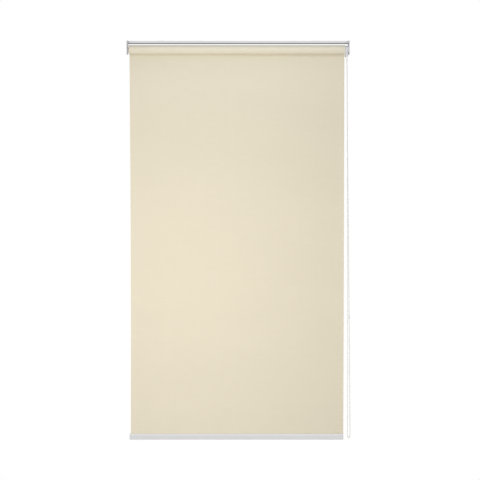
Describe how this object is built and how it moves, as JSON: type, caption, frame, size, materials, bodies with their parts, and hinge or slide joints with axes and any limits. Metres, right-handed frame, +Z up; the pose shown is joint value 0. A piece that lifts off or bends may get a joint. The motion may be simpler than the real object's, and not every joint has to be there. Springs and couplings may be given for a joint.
{
  "type": "roller blind",
  "caption": "Chain-operated roller blind: ceiling headrail, end brackets, cloth on a tube with wrap-spring clutch, hem bar and a hanging bead chain loop.",
  "frame": {"origin": "on the ceiling plane, midway between the two ceiling screws", "axes": "+X along the tube towards the chain, +Y towards the window, +Z up"},
  "size_m": [1.0093, 0.052, 1.8],
  "materials": {
    "rail_aluminium": "satin anodised extrusion",
    "clip_steel": "zinc-plated pressing",
    "bracket_paint": "satin powder coat",
    "cover_plastic": "fine-grained moulding",
    "screw_steel": "bright zinc",
    "idle_plastic": "plain moulding",
    "pin_steel": "turned steel",
    "spring_steel": "drawn wire",
    "tube_aluminium": "mill finish",
    "tape_adhesive": "double-sided tape",
    "blind_cloth": "plain weave with faint slubs, coated back",
    "hem_aluminium": "satin anodised extrusion",
    "cap_plastic": "fine-grained moulding",
    "keder_plastic": "extruded strip",
    "clutch_plastic": "glass-filled nylon",
    "guard_plastic": "fine-grained moulding",
    "chain_plastic": "moulded beads on a cord",
    "connector_plastic": "translucent moulding"
  },
  "bodies": {
    "frame": {"headrail": "rail_aluminium", "mounting_clip_left": "clip_steel", "mounting_clip_right": "clip_steel", "left_bracket": "bracket_paint", "left_cover": "cover_plastic", "right_bracket": "bracket_paint", "right_cover": "cover_plastic", "bracket_screws_left": "screw_steel", "bracket_screws_right": "screw_steel", "pin_bush": "idle_plastic", "clutch_core": "clutch_plastic", "core_retainer": "spring_steel", "drive_housing": "guard_plastic", "chain": "chain_plastic", "fabric_panel": "blind_cloth"},
    "roller": {"roller_tube": "tube_aluminium", "fixing_tape": "tape_adhesive", "wound_fabric": "blind_cloth", "drive_crown": "clutch_plastic", "clutch_springs": "spring_steel", "idle_plug": "idle_plastic"},
    "idle_pin": {"idle_pin": "pin_steel", "idle_pin_spring": "spring_steel"},
    "chain_wheel": {"chain_wheel": "clutch_plastic"},
    "hem": {"hem_bar": "hem_aluminium", "fabric_keder": "keder_plastic", "bar_cap_left": "cap_plastic", "bar_cap_right": "cap_plastic"},
    "chain_stop": {"chain_stop": "connector_plastic"},
    "chain_connector": {"chain_connector": "connector_plastic"}
  },
  "joints": [
    {"name": "roller_turn", "type": "hinge", "parent": "frame", "child": "roller", "pos_m": [0, 0, -0.04], "axis": [1, 0, 0], "range_deg": [0, 4320]},
    {"name": "chain_wheel_turn", "type": "hinge", "parent": "frame", "child": "chain_wheel", "pos_m": [0.489, 0, -0.04], "axis": [1, 0, 0], "range_deg": [0, 4320]},
    {"name": "hem_lift", "type": "slide", "parent": "frame", "child": "hem", "axis": [0, 0, 1], "range_m": [0, 1.7], "deforming": ["fabric_panel"]},
    {"name": "chain_stop_run", "type": "slide", "parent": "frame", "child": "chain_stop", "axis": [0.0032, 0.0002, -1], "range_m": [0, 1.008]},
    {"name": "chain_connector_run", "type": "slide", "parent": "frame", "child": "chain_connector", "axis": [-0.0108, 0.0002, 0.9999], "range_m": [0, 1.008]},
    {"name": "idle_pin_press", "type": "slide", "parent": "roller", "child": "idle_pin", "axis": [1, 0, 0], "range_m": [0, 0.006], "stiffness_N_per_m": 600, "springref_m": -0.004, "deforming": ["idle_pin_spring"]}
  ],
  "couplings": [
    {"joint": "chain_wheel_turn", "follows": "roller_turn", "ratio": 1},
    {"joint": "hem_lift", "follows": "roller_turn", "m_per_rad": 0.022545},
    {"joint": "chain_stop_run", "follows": "roller_turn", "m_per_rad": 0.013369},
    {"joint": "chain_connector_run", "follows": "roller_turn", "m_per_rad": 0.013369}
  ]
}
